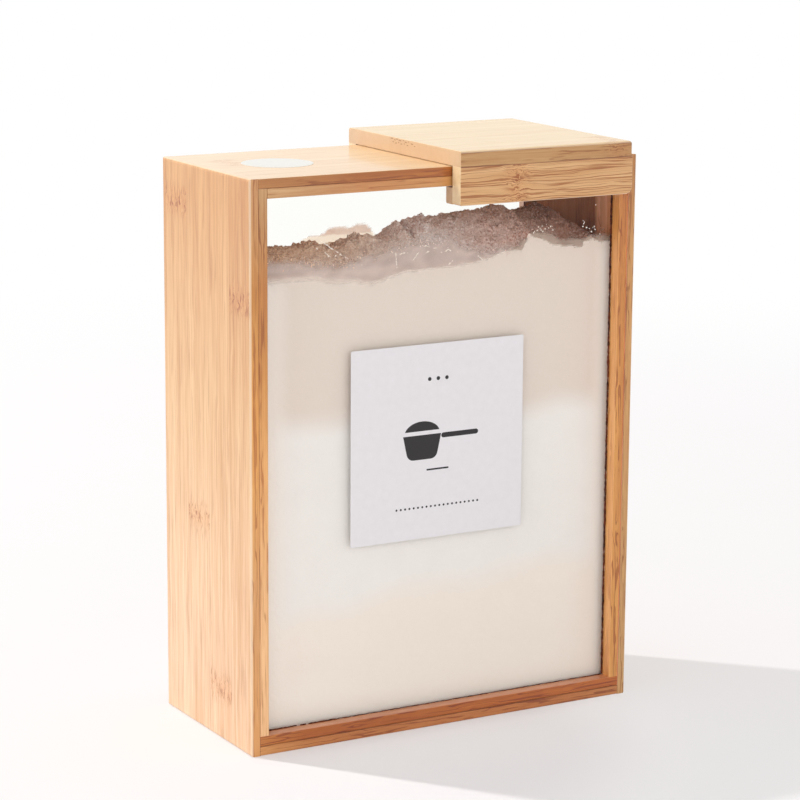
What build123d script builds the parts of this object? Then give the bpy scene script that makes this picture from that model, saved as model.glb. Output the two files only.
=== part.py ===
from build123d import *
import os

# Storage canister for a dry powder: a shallow bamboo case with a clear window let into
# its front and its back, a filling mouth in the right half of its top, and a lid that
# hooks round the case's top rails and slides over the fixed left half to open the mouth.
#
# Frame: millimetres, +X to the right, +Y to the back, +Z up. The origin is on the ground
# under the middle of the case.

# Case
case_width = 231.0
case_depth = 102.0
case_height = 300.0
board_thickness = 5.0
outer_edge_radius = 1.5
top_edge_radius = 0.6

# Windows, each held in a groove that runs round the inner faces of the four boards
window_thickness = 3.0
window_recess = 7.4
groove_depth = 1.5
groove_clearance = 0.1

# Retaining strips, glued in front of each window
strip_width = 5.3
strip_inset = 0.3
strip_edge_radius = 0.5

# Filling mouth, cut through the top board
mouth_rail = 14.0
mouth_lid_lap = 5.2
mouth_end_margin = 8.5
mouth_corner_radius = 8.0
mouth_edge_radius = 0.8

# Lid: one board on top, a flap glued under its front and back edges, and a lip on each
# flap's inner face that hooks under the case's top rail
lid_length = 105.0
lid_right_inset = 9.7
lid_stock = 8.2
lid_lift = 0.3
lid_edge_radius = 1.5
lid_grip_edge_radius = 0.4
flap_drop = 20.0
flap_gap = 0.8
flap_overrun = 1.0
flap_outer_corner_radius = 4.0
flap_inner_corner_radius = 1.2
flap_edge_radius = 0.6
lip_depth = 6.3
lip_gap = 0.8
lip_corner_radius = 1.0
stop_gap = 0.3

# Stickers
label_size = 104.3
label_rise = 4.4
label_shift = -1.8
label_corner_radius = 0.8
sticker_thickness = 0.15
round_sticker_diameter = 37.5
round_sticker_left_inset = 41.7

# Powder: how far its top lies below the top board, at even steps from the left end board
# to the right one, along the front window, the middle and the back window
headspace_front = (44.0, 49.5, 53.0, 49.0, 44.0, 41.0, 42.0)
headspace_middle = (44.0, 46.0, 47.0, 43.5, 38.0, 36.0, 39.0)
headspace_back = (44.0, 44.0, 43.0, 40.0, 34.0, 31.5, 33.0)
loft_margin = 2.0

# Allowances for building: how far a cutter passes the face that it cuts, and how near an
# edge must lie to a height to be found there
cut_margin = 1.0
height_tolerance = 0.01

# Sizes that follow from the ones above
half_width = case_width / 2
half_depth = case_depth / 2
inner_width = case_width - 2 * board_thickness
ceiling = case_height - board_thickness
window_outer_face = half_depth - window_recess
window_inner_face = window_outer_face - window_thickness
strip_depth = window_recess - strip_inset - groove_clearance
strip_outer_face = half_depth - strip_inset
opening_half_width = inner_width / 2 - strip_width
lid_right = half_width - lid_right_inset
lid_left = lid_right - lid_length
lid_underside = case_height + lid_lift
flap_inner_face = half_depth + flap_gap
lid_half_depth = flap_inner_face + lid_stock
flap_bottom = lid_underside - flap_drop
lip_top = ceiling - strip_width - lip_gap
lip_right = opening_half_width - stop_gap
lid_travel = lid_left + opening_half_width - stop_gap
mouth_left = lid_left + mouth_lid_lap
mouth_right = inner_width / 2 - mouth_end_margin


def block(x_range, y_range, z_range):
    """A plain block between two values on each axis."""
    size = [high - low for low, high in (x_range, y_range, z_range)]
    middle = [(high + low) / 2 for low, high in (x_range, y_range, z_range)]
    return Pos(*middle) * Box(*size)


def span(side, inner, outer):
    """Two distances from the middle plane, as an ordered range on the given side."""
    return tuple(sorted((side * inner, side * outer)))


def window_plate(side, edge_reach, face_clearance):
    """A plate in a window's place; edge_reach is how far it enters the boards."""
    half_length = inner_width / 2 + edge_reach
    return block(
        (-half_length, half_length),
        span(side, window_inner_face - face_clearance, window_outer_face + face_clearance),
        (board_thickness - edge_reach, ceiling + edge_reach),
    )


def cut_grooves(board):
    """The board with the part of each window groove that crosses it."""
    for side in (-1, 1):
        board -= window_plate(side, groove_depth, groove_clearance)
    return board


def side_board(side):
    """An end board, as tall as the case, with its outer edges rounded."""
    board = block(span(side, inner_width / 2, half_width), (-half_depth, half_depth), (0, case_height))
    outer_face = board.faces().sort_by(Axis.X)[0 if side < 0 else -1]
    return cut_grooves(board.fillet(outer_edge_radius, outer_face.edges()))


def long_edges(shape, height):
    """The edges along X that lie at a height."""
    lowest = height - height_tolerance
    highest = height + height_tolerance
    return shape.edges().filter_by(Axis.X).filter_by_position(Axis.Z, lowest, highest)


def bottom_board():
    """The base, between the two end boards."""
    board = block((-inner_width / 2, inner_width / 2), (-half_depth, half_depth), (0, board_thickness))
    return cut_grooves(board.fillet(top_edge_radius, long_edges(board, 0)))


def top_board():
    """The top, between the two end boards, with the filling mouth cut through its right half."""
    board = block((-inner_width / 2, inner_width / 2), (-half_depth, half_depth), (ceiling, case_height))
    board = board.fillet(top_edge_radius, long_edges(board, case_height))
    rail_face = half_depth - mouth_rail
    mouth = block(
        (mouth_left, mouth_right),
        (-rail_face, rail_face),
        (ceiling - cut_margin, case_height + cut_margin),
    )
    mouth = mouth.fillet(mouth_corner_radius, mouth.edges().filter_by(Axis.Z))
    board -= mouth
    rim = board.faces().sort_by(Axis.Z)[-1].inner_wires()[0]
    return cut_grooves(board.fillet(mouth_edge_radius, rim.edges()))


def strip(side, x_range, z_range):
    """A retaining strip; its two long edges at the front are eased."""
    piece = block(x_range, span(side, strip_outer_face - strip_depth, strip_outer_face), z_range)
    along = Axis.X if x_range[1] - x_range[0] > z_range[1] - z_range[0] else Axis.Z
    outer_face = piece.faces().sort_by(Axis.Y)[0 if side < 0 else -1]
    return piece.fillet(strip_edge_radius, outer_face.edges().filter_by(along))


def retaining_strips(side):
    """The four strips before one window. The side strips stand on the bottom one."""
    inner_edge = opening_half_width
    outer_edge = inner_width / 2
    bottom_top = board_thickness + strip_width
    return {
        "bottom_strip": strip(side, (-outer_edge, outer_edge), (board_thickness, bottom_top)),
        "left_strip": strip(side, (-outer_edge, -inner_edge), (bottom_top, ceiling)),
        "right_strip": strip(side, (inner_edge, outer_edge), (bottom_top, ceiling)),
        "top_strip": strip(side, (-inner_edge, inner_edge), (ceiling - strip_width, ceiling)),
    }


def lid_board():
    """The lid's top board, which overhangs the case at the front and the back."""
    board = block(
        (lid_left, lid_right),
        (-lid_half_depth, lid_half_depth),
        (lid_underside, lid_underside + lid_stock),
    )
    top_edges = board.faces().sort_by(Axis.Z)[-1].edges().sort_by(Axis.X)
    board = board.fillet(lid_edge_radius, top_edges[1:])
    grip_edge = board.edges().filter_by(Axis.Y).group_by(Axis.X)[0].sort_by(Axis.Z)[-1]
    return board.fillet(lid_grip_edge_radius, [grip_edge])


def lid_flap(side):
    """A flap that hangs from the lid board in front of the case's rail, or behind it."""
    flap = block(
        (lid_left, lid_right + flap_overrun),
        span(side, flap_inner_face, lid_half_depth),
        (flap_bottom, lid_underside),
    )
    for end, radius in ((0, flap_inner_corner_radius), (-1, flap_outer_corner_radius)):
        lowest_edges = flap.edges().filter_by(Axis.Y).group_by(Axis.Z)[0]
        flap = flap.fillet(radius, [lowest_edges.sort_by(Axis.X)[end]])
    outer_face = flap.faces().sort_by(Axis.Y)[0 if side < 0 else -1]
    return flap.fillet(flap_edge_radius, outer_face.edges().sort_by(Axis.Z)[:-1])


def lid_lip(side):
    """The strip on a flap's inner face that runs under the case's rail."""
    lip = block(
        (lid_left, lip_right),
        span(side, flap_inner_face - lip_depth, flap_inner_face),
        (flap_bottom, lip_top),
    )
    inner_face = lip.faces().sort_by(Axis.Y)[-1 if side < 0 else 0]
    lower_edge = inner_face.edges().filter_by(Axis.X).sort_by(Axis.Z)[0]
    return lip.fillet(lip_corner_radius, [lower_edge])


def label():
    """The square sticker in the middle of the front window."""
    middle_height = case_height / 2 + label_rise
    sheet = block(
        (label_shift - label_size / 2, label_shift + label_size / 2),
        (-window_outer_face - sticker_thickness, -window_outer_face),
        (middle_height - label_size / 2, middle_height + label_size / 2),
    )
    return sheet.fillet(label_corner_radius, sheet.edges().filter_by(Axis.Y))


def round_sticker():
    """The plain round sticker on the fixed half of the top, low enough for the lid to pass."""
    disc = Cylinder(round_sticker_diameter / 2, sticker_thickness)
    middle_height = case_height + sticker_thickness / 2
    return Pos(round_sticker_left_inset - half_width, 0, middle_height) * disc


def fill_section(y, headspaces):
    """An upright section through the powder, a little wider than the case's inside."""
    half_length = inner_width / 2 + loft_margin
    step = 2 * half_length / (len(headspaces) - 1)
    top = [Vector(half_length - i * step, y, ceiling - h) for i, h in enumerate(reversed(headspaces))]
    low_left = Vector(-half_length, y, 0)
    low_right = Vector(half_length, y, 0)
    outline = [
        Edge.make_line(low_left, low_right),
        Edge.make_line(low_right, top[0]),
        Edge.make_spline(top),
        Edge.make_line(top[-1], low_left),
    ]
    return Wire(outline)


def powder_fill():
    """The powder, poured in through the mouth, so that it lies highest at the back right."""
    reach = window_inner_face + loft_margin
    mound = Solid.make_loft([
        fill_section(-reach, headspace_front),
        fill_section(0, headspace_middle),
        fill_section(reach, headspace_back),
    ])
    inside = block(
        (-inner_width / 2, inner_width / 2),
        (-window_inner_face, window_inner_face),
        (board_thickness, ceiling),
    )
    return inside & mound


nodes = {
    "left_side_board": side_board(-1),
    "right_side_board": side_board(1),
    "bottom_board": bottom_board(),
    "top_board": top_board(),
    "powder_fill": powder_fill(),
    "label": label(),
    "round_sticker": round_sticker(),
    "lid_board": lid_board(),
}
for side, name in ((-1, "front"), (1, "back")):
    nodes[f"{name}_window"] = window_plate(side, groove_depth - groove_clearance, 0)
    nodes[f"lid_{name}_flap"] = lid_flap(side)
    nodes[f"lid_{name}_lip"] = lid_lip(side)
    for strip_name, piece in retaining_strips(side).items():
        nodes[f"{name}_{strip_name}"] = piece

os.makedirs("parts", exist_ok=True)
for name, shape in nodes.items():
    shape.label = name
    export_step(shape, f"parts/{name}.step")
print(f"{len(nodes)} nodes, and the lid travels {lid_travel:.2f} mm")
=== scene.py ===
# %% [markdown]
# # A bamboo canister for powder
#
# The real object is a shallow upright box of varnished bamboo boards. It has a clear acrylic
# window in its front and its back, a filling mouth in the right half of its top, and a lid that
# hooks round the top rails and slides to the left. The imported model holds every board, strip and
# window at its true size, so this script keeps those meshes and gives each a finish. It makes what
# the model leaves plain: the heaped powder, the dust on the windows, a dark bead in their corners
# that paints the shadow there, and the print on the label. All lengths are in metres.

# %% Load the imported model
import math

import bmesh
import bpy
import numpy as np
from mathutils import Matrix, Vector, noise


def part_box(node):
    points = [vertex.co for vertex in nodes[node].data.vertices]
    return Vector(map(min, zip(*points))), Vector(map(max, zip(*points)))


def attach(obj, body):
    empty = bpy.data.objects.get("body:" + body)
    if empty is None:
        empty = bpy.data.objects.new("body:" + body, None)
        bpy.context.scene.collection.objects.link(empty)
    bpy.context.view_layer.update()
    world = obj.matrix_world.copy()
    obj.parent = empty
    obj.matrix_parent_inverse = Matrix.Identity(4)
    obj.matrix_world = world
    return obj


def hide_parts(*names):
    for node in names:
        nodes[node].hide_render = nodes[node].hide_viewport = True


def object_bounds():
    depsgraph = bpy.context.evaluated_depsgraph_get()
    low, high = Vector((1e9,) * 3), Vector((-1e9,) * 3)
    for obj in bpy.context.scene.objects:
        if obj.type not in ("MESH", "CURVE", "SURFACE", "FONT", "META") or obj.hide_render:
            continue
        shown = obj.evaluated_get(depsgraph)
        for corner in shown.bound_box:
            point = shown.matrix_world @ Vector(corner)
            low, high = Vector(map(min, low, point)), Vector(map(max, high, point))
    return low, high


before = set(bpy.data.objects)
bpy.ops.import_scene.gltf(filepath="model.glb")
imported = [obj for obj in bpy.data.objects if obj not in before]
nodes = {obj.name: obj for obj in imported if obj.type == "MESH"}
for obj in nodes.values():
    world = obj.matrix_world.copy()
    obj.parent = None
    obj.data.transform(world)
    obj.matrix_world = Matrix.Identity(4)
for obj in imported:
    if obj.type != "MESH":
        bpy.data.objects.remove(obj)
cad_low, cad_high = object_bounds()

MM = 0.001
scene = bpy.context.scene
print("The canister measures", [round(side, 4) for side in cad_high - cad_low], "m")

# %% [markdown]
# ## The camera
#
# The picture was taken with a long lens, a little above the lid and to the left of the front.
# Place and turn were found from the picture's straight edges. A camera in Blender looks along
# its own -Z, so it is stood upright by a quarter turn about X first, then tipped down by the
# pitch and turned about Z by the yaw.

# %% Camera
CAMERA_PLACE = (-0.75047, -1.32030, 0.48958)
CAMERA_YAW = math.radians(29.616)
CAMERA_PITCH = math.radians(11.967)
CAMERA_ROLL = math.radians(0.379)
SENSOR_WIDTH = 36.0
FOCAL_LENGTH = 129.79


def new_object(name, data):
    made = bpy.data.objects.new(name, data)
    scene.collection.objects.link(made)
    return made


def add_camera():
    lens = bpy.data.cameras.new("long_lens")
    lens.sensor_width = SENSOR_WIDTH
    lens.lens = FOCAL_LENGTH
    camera = new_object("long_lens", lens)
    turn = Matrix.Rotation(-CAMERA_YAW, 4, "Z")
    turn = turn @ Matrix.Rotation(math.pi / 2 - CAMERA_PITCH, 4, "X")
    turn = turn @ Matrix.Rotation(CAMERA_ROLL, 4, "Z")
    camera.matrix_world = Matrix.Translation(CAMERA_PLACE) @ turn
    return camera


scene.camera = add_camera()
scene.view_settings.view_transform = "Standard"
print("The camera stands", round(Vector(CAMERA_PLACE).length, 2), "m from the origin")

# %% [markdown]
# ## Wiring nodes from Python
#
# Every finish below is a small network of nodes. Placing and linking them one by one is slow to
# read, so two classes do it. `Wiring.node` adds any node: it takes the node's type, its
# settings, and a value or a link for each input. `Signal` is one output socket that Python's
# own + - * / work on, each of which adds a Math node. So `1 - mask * 0.3` is written as it is.

# %% Helpers for node trees
NOISE_COLOUR = 1
MIX_FACTOR, MIX_START, MIX_END, MIX_COLOUR = 0, 6, 7, 2


class Signal:
    """An output socket. Arithmetic on it adds Math nodes to the tree it belongs to."""

    def __init__(self, net, socket):
        self.net = net
        self.socket = socket

    def maths(self, operation, *others):
        return self.net.node("ShaderNodeMath", {"operation": operation}, [self, *others])

    def __add__(self, other):
        return self.maths("ADD", other)

    def __sub__(self, other):
        return self.maths("SUBTRACT", other)

    def __mul__(self, other):
        return self.maths("MULTIPLY", other)

    def __truediv__(self, other):
        return self.maths("DIVIDE", other)

    def __rsub__(self, other):
        return self.net.node("ShaderNodeMath", {"operation": "SUBTRACT"}, [other, self])

    def __rtruediv__(self, other):
        return self.net.node("ShaderNodeMath", {"operation": "DIVIDE"}, [other, self])

    __radd__ = __add__
    __rmul__ = __mul__

    def __abs__(self):
        return self.maths("ABSOLUTE")

    def at_least(self, other):
        return self.maths("MAXIMUM", other)

    def ease(self, start, end):
        """0 where this is start and 1 where it is end, with a smooth run between."""
        settings = {"interpolation_type": "SMOOTHSTEP"}
        return self.net.node("ShaderNodeMapRange", settings, [self, start, end, 0.0, 1.0])

    def vector_maths(self, operation, other, out=0):
        second = "Scale" if operation == "SCALE" else 1
        values = {0: self, second: other}
        return self.net.node("ShaderNodeVectorMath", {"operation": operation}, values, out)

    def split(self):
        """The X, Y and Z of this vector, as three signals."""
        sockets = self.net.node("ShaderNodeSeparateXYZ", values=[self]).socket.node.outputs
        return {axis: Signal(self.net, sockets[axis]) for axis in "XYZ"}

    def cloud(self, size=1.0, detail=2.0, out=0):
        """Noise about 0.5 at the place that this vector gives, with lumps of this size."""
        values = {"Vector": self, "Scale": 1 / size, "Detail": detail}
        return self.net.node("ShaderNodeTexNoise", values=values, out=out)

    def bump(self, strength, distance):
        """The normals of a surface that is raised by distance where this is 1."""
        values = {"Strength": strength, "Distance": distance, "Height": self}
        return self.net.node("ShaderNodeBump", values=values)

    def ramp(self, tones):
        """A colour that runs through (millimetres, colour) stops. One stop is one colour."""
        stops = [(at * MM, tint(*colour)) for at, colour in tones]
        if len(stops) == 1:
            return stops[0][1]
        first, reach = stops[0][0], stops[-1][0] - stops[0][0]
        made = self.net.node("ShaderNodeValToRGB", values=[(self - first) / reach])
        elements = made.socket.node.color_ramp.elements
        for _ in stops[2:]:
            elements.new(0.5)
        for element, (at, colour) in zip(elements, stops):
            element.position = (at - first) / reach
            element.color = colour
        return made


class Wiring:
    """A node tree that is filled from Python."""

    def __init__(self, tree):
        self.tree = tree
        tree.nodes.clear()

    def node(self, kind, settings=(), values=(), out=0):
        """Add a node. values is a list by position, or a dict by socket name or position."""
        made = self.tree.nodes.new(kind)
        for key, value in dict(settings).items():
            setattr(made, key, value)
        pairs = values.items() if isinstance(values, dict) else enumerate(values)
        for key, value in pairs:
            if isinstance(value, Signal):
                self.tree.links.new(value.socket, made.inputs[key])
            else:
                made.inputs[key].default_value = value
        return Signal(self, made.outputs[out]) if len(made.outputs) else None

    def attribute(self, name):
        """A number that the mesh carries at its points."""
        if self.tree.type == "GEOMETRY":
            return self.node("GeometryNodeInputNamedAttribute", {"data_type": "FLOAT"}, [name])
        return self.node("ShaderNodeAttribute", {"attribute_name": name}, out="Fac")

    def surface(self, shader):
        self.node("ShaderNodeOutputMaterial", values={"Surface": shader})

    def principled(self, **values):
        """Close a finish with one Principled shader. _ stands for a space in a socket's name."""
        values = {key.replace("_", " "): value for key, value in values.items()}
        self.surface(self.node("ShaderNodeBsdfPrincipled", values=values))


def blend(factor, start, end, blend_type="MIX"):
    """The colour start where factor is 0 and end where it is 1. One or more are signals."""
    net = next(part.net for part in (factor, start, end) if isinstance(part, Signal))
    values = {MIX_FACTOR: factor, MIX_START: start, MIX_END: end}
    settings = {"data_type": "RGBA", "blend_type": blend_type}
    return net.node("ShaderNodeMix", settings, values, MIX_COLOUR)


def multiply(factor, colour, by):
    return blend(factor, colour, by, "MULTIPLY")


def tint(red, green, blue):
    """A colour as read off a screen, 0 to 255, in the linear values that Blender mixes."""
    share = [channel / 255 for channel in (red, green, blue)]
    return [s / 12.92 if s <= 0.04045 else ((s + 0.055) / 1.055) ** 2.4 for s in share] + [1.0]


def new_finish(name):
    """A material, its wiring, and the place on the object as a signal."""
    material = bpy.data.materials.new(name)
    material.use_nodes = True
    net = Wiring(material.node_tree)
    return material, net, net.node("ShaderNodeTexCoord", out="Object")


WHITE = tint(255, 255, 255)
print("A mid grey of 188 is", round(tint(188, 188, 188)[0], 3), "in linear light")

# %% [markdown]
# ## Floor and light
#
# The canister stands on a white sheet that runs out to the horizon. One small, rather strong lamp
# stands behind it on the left, high enough that the shadow falls to the front right, and a white
# sky, a little stronger on the left and weaker behind, fills the front. What the camera, gloss and
# clear plastic see of the sky is plain white, which Light Path tells apart from the sky that
# lights the object. The floor is half diffuse and half white for the same rays, so that it keeps a
# pale shadow. Close to the canister less of it is white, which paints that shadow deeper there.

# %% Floor, sky and lamp
HORIZON_LEVEL = 1.60
ZENITH_LEVEL = 0.30
LEFT_GAIN = 0.30
BACK_LOSS = 0.35
FLOOR_SIZE = 60.0
FLOOR_MOTTLE = 1 / 9
FLOOR_WHITE_SHARE = (0.50, 1.0)
FLOOR_FADE = (0.60, 1.40)
# Where, how much and how far the floor's shadow is painted deeper beside the canister.
FLOOR_PAINTED_SHADE_PLACE = (-0.06, -0.06, 0.0)
FLOOR_PAINTED_SHADE = (0.19, 0.17, 0.10)
LAMP_PLACE = (-1.28, 1.48, 2.84)
LAMP_SIZE = 0.10
LAMP_LEVEL = 0.52


def seen_directly(net):
    """1 for rays of the camera, of gloss and through clear plastic, and 0 for the rest."""
    rays = ["Is Camera Ray", "Is Glossy Ray", "Is Transmission Ray"]
    camera, gloss, through = [net.node("ShaderNodeLightPath", out=ray) for ray in rays]
    return camera.at_least(gloss).at_least(through)


def set_sky():
    world = bpy.data.worlds.new("studio")
    world.use_nodes = True
    net = Wiring(world.node_tree)
    towards = net.node("ShaderNodeTexCoord", out="Generated").split()
    glow = HORIZON_LEVEL + (ZENITH_LEVEL - HORIZON_LEVEL) * towards["Z"].at_least(0.0)
    glow = glow * (1.0 - LEFT_GAIN * towards["X"])
    glow = glow * (1.0 - BACK_LOSS * towards["Y"].at_least(0.0))
    level = glow + (1.0 - glow) * seen_directly(net)
    light = net.node("ShaderNodeBackground", values=[WHITE, level])
    net.node("ShaderNodeOutputWorld", values={"Surface": light})
    scene.world = world


def add_floor():
    half = FLOOR_SIZE / 2
    corners = [(-half, -half, 0), (half, -half, 0), (half, half, 0), (-half, half, 0)]
    mesh = bpy.data.meshes.new("floor")
    mesh.from_pydata(corners, [], [(0, 1, 2, 3)])
    floor = new_object("floor", mesh)
    material, net, place = new_finish("floor_sheet")
    colour = blend(place.cloud(FLOOR_MOTTLE), tint(242, 237, 237), tint(245, 240, 240))
    cloth = net.node("ShaderNodeBsdfDiffuse", values={"Color": colour})
    white = net.node("ShaderNodeEmission", values=[WHITE, 1.0])
    away = place.vector_maths("DISTANCE", (0.0, 0.0, 0.0), "Value")
    beside = place.vector_maths("DISTANCE", FLOOR_PAINTED_SHADE_PLACE, "Value")
    near, far = FLOOR_WHITE_SHARE
    painted_shade, *painted_shade_reach = FLOOR_PAINTED_SHADE
    # Close to the canister less of the floor is white for the camera, which paints its shadow
    # deeper there.
    near = near - painted_shade * beside.ease(*painted_shade_reach)
    share = seen_directly(net) * (near + (far - near) * away.ease(*FLOOR_FADE))
    net.surface(net.node("ShaderNodeMixShader", values=[share, cloth, white]))
    mesh.materials.append(material)


def add_lamp():
    place = Vector(LAMP_PLACE)
    back = place - (cad_low + cad_high) / 2
    lamp = bpy.data.lights.new("key_lamp", "AREA")
    lamp.shape = "DISK"
    lamp.size = LAMP_SIZE
    lamp.energy = LAMP_LEVEL * (math.pi * back.length) ** 2
    turn = back.to_track_quat("Z", "Y").to_matrix().to_4x4()
    new_object("key_lamp", lamp).matrix_world = Matrix.Translation(place) @ turn
    return back.length


set_sky()
add_floor()
print("The lamp stands", round(add_lamp(), 2), "m away")

# %% [markdown]
# ## Bamboo
#
# Bamboo boards are glued up from slats about 25 mm wide, each cut from another stem. Along a
# slat run fine straight fibres, paler and darker, with thin dark lines between them, and where
# the stem had a joint, its knuckle shows as a short patch in which the lines waver and break
# into dashes. All of it is varnished, and the varnish whitens what is seen at a flat angle.
#
# A photograph of wood would repeat, so noise that is stretched along the grain gives the
# fibres. The thin lines are where such noise crosses its middle value, as contour lines on a
# map. A whole number counted across the board gives each slat a tone of its own. The main
# colour runs through stops along the grain, and the figure multiplies it.

# %% Bamboo finish
SLAT_WIDTH = 25 * MM
FIBRE_BREADTH = 0.8 * MM
STREAK_BREADTH = 2.8 * MM
CONTOUR_BREADTH = 2.5 * MM
LINE_BAND = (0.055, 0.018)
JOINT_BREADTH = 0.32 * MM
KNUCKLE_REACH = 7.0 * MM
KNUCKLE_DASH = (9.0 * MM, 1.1 * MM)
FACING = (0.55, 0.9)
VARNISH = {"IOR": 1.5, "Coat_Roughness": 0.12}
COAT_WEIGHT = 0.6
FIGURE_PALE = (1.12, 1.22, 1.34, 1.0)
FIGURE_DEEP = (0.87, 0.76, 0.63, 1.0)
LINE_TINT = tint(202, 170, 138)
DASH_TINT = tint(192, 140, 78)
JOINT_TINT = tint(150, 108, 80)
KNUCKLE_TINT = tint(246, 222, 196)
# The pale tone that paints a highlight along rounded edges.
RIM_HIGHLIGHT_TINT = tint(250, 226, 194)


def knuckle_mask(slat, along, seam_at, knuckles):
    """Soft spots at the knuckles, which are (across, along) pairs in millimetres."""
    mask = 0.0 * along
    for across_at, along_at in knuckles:
        slat_at = math.floor((across_at * MM - seam_at) / SLAT_WIDTH) + 0.5
        inside = slat.maths("COMPARE", slat_at, 0.5)
        reach = (along - along_at * MM) / KNUCKLE_REACH
        mask = mask + inside * (0.0 - reach * reach).maths("EXPONENT")
    return mask


def joint_mask(place, normal, joints):
    """1 in the thin dark lines where two pieces meet. joints holds (axis, millimetres) pairs."""
    mask = 0.0 * place["X"]
    for axis, at in joints:
        away = abs(place[axis] - at * MM)
        crossing = abs(normal[axis]).ease(0.7, 0.3)
        mask = mask.at_least(crossing * away.ease(JOINT_BREADTH, 0.4 * JOINT_BREADTH))
    return mask


def bamboo(name, grain, width, tones, seed, knuckles=(), seam_at=0.0, lines=(0.4, 0.4),
           wander=1.0 * MM, inside=None, worn_rim=0.0, joints=(), crowd=0.0, calm=0.0,
           edge_knots=False, contour_breadth=CONTOUR_BREADTH):
    """Varnished bamboo.

    grain and width are axes. tones holds the stops of the face, of the edges across its width and,
    if it differs, of the end grain. lines is how strong the dark lines are on the face and on
    those edges. inside is (axis, side, colour, colour of the first slat) for a face inside the
    box, left nearly without varnish: its darker colour paints the shade in there, and the first
    slat's colour, towards the front, paints the light that comes in by the window. A pale line on
    the rounded edges paints a highlight. crowd is how much more than usual the dark lines cover,
    calm how much weaker the face's figure is, and contour_breadth about twice their spacing.
    """
    material, net, place = new_finish(name)
    place, normal = place.split(), net.node("ShaderNodeTexCoord", out="Normal").split()
    thick = next(axis for axis in "XYZ" if axis not in (grain, width))
    along, across, depth = place[grain], place[width], place[thick]

    def figure(sideways, length, breadth, shift, detail=2.0):
        """Noise whose lumps are length long down the grain and breadth wide across it."""
        values = [along / length + (seed + shift), sideways / breadth, depth / breadth]
        return net.node("ShaderNodeCombineXYZ", values=values).cloud(detail=detail)

    slat = (across - seam_at) / SLAT_WIDTH
    number = slat.maths("FLOOR")
    share = slat - number
    slat_tone = net.node("ShaderNodeTexWhiteNoise", {"noise_dimensions": "1D"},
                         {"W": number + seed})
    seam = (share.maths("MINIMUM", 1.0 - share) * SLAT_WIDTH).ease(0.5 * MM, 0.1 * MM)

    edge_share, end_share = [abs(normal[axis]).ease(*FACING) for axis in (width, grain)]
    not_end = 1.0 - end_share
    spots = knuckle_mask(slat, along, seam_at, knuckles)
    if not edge_knots:
        spots = spots * (1.0 - edge_share)
    sway = figure(across, 30 * MM, 7 * MM, 7.0)
    twist = figure(across, 6 * MM, 3.2 * MM, 8.0)
    bent = across + (sway - 0.5) * (4 * wander) + spots * (twist - 0.5) * (8 * MM)

    streak = figure(bent, 95 * MM, STREAK_BREADTH, 0.0)
    fibre = figure(bent, 38 * MM, FIBRE_BREADTH, 3.0)
    broad = figure(across, 160 * MM, 13 * MM, 5.0)
    contour = figure(bent, 120 * MM, contour_breadth, 9.0, 1.0)
    fade = figure(across, 28 * MM, 0.9 * contour_breadth, 13.0)
    line = abs(contour - 0.5).ease(*LINE_BAND) * fade.ease(0.42 - crowd, 0.56 - crowd)
    dash = figure(bent, *KNUCKLE_DASH, 11.0).ease(0.52, 0.62) * spots
    fleck = figure(bent, *KNUCKLE_DASH, 17.0).ease(0.55, 0.66) * spots
    line, dash, fleck = [mark * not_end for mark in (line, dash, fleck)]

    face, edge, *end = [along.ramp(tone) for tone in tones]
    colour = blend(edge_share, face, edge)
    if end:
        colour = blend(end_share, colour, end[0])
    coat, roughness = COAT_WEIGHT, 0.46 + 0.2 * (fibre - 0.5)
    # Inner faces: a darker colour that paints the shade inside the box, and a paler first slat
    # towards the front that paints the light coming in by the window.
    if inside:
        axis, side, painted_inside_shade, painted_window_light = inside
        painted_inside_shade = blend(across.ease(-18 * MM, -22 * MM), tint(*painted_inside_shade), tint(*painted_window_light))
        inner_share = (normal[axis] * side).ease(*FACING)
        colour = blend(inner_share, colour, painted_inside_shade)
        coat = COAT_WEIGHT * (1.0 - 0.95 * inner_share)
        roughness = roughness + 0.4 * inner_share

    grade = 1.5 * (streak - 0.5) + 1.3 * (fibre - 0.5) + 1.1 * (broad - 0.5)
    grade = grade + 0.35 * (slat_tone - 0.5)
    grade = 0.5 + grade * (1.0 - 0.6 * end_share) * (1.0 - calm * (1.0 - edge_share))
    colour = multiply(1.0, colour, blend(grade, FIGURE_DEEP, FIGURE_PALE))
    line_strength = lines[0] + (lines[1] - lines[0]) * edge_share
    colour = multiply(line * line_strength, colour, LINE_TINT)
    colour = multiply(seam * 0.5 * streak * not_end, colour, LINE_TINT)
    colour = multiply(spots * 0.45, colour, KNUCKLE_TINT)
    colour = multiply(dash * (0.9 - 0.6 * calm), colour, DASH_TINT)
    colour = multiply(fleck * 0.6, colour, FIGURE_PALE)
    if joints:
        broken = fade.ease(0.30, 0.50) * not_end
        colour = multiply(joint_mask(place, normal, joints) * broken * 0.8, colour, JOINT_TINT)
    # A pale line along the rounded edges paints a highlight there.
    if worn_rim:
        squareness = abs(normal["X"]).at_least(abs(normal["Y"])).at_least(abs(normal["Z"]))
        rim = squareness.ease(0.985, 0.90) * abs(normal[grain]).ease(0.4, 0.2)
        colour = blend(rim * worn_rim, colour, RIM_HIGHLIGHT_TINT)

    height = fibre * 0.6 + streak * 0.3 - line * 0.7 - dash * 0.6
    net.principled(Base_Color=colour, Roughness=roughness, Coat_Weight=coat,
                   Normal=height.bump(0.4, 0.06 * MM), **VARNISH)
    return material


print("A slat is", SLAT_WIDTH / MM, "mm wide and its dark lines lie about",
      CONTOUR_BREADTH / MM / 2, "mm apart")
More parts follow.
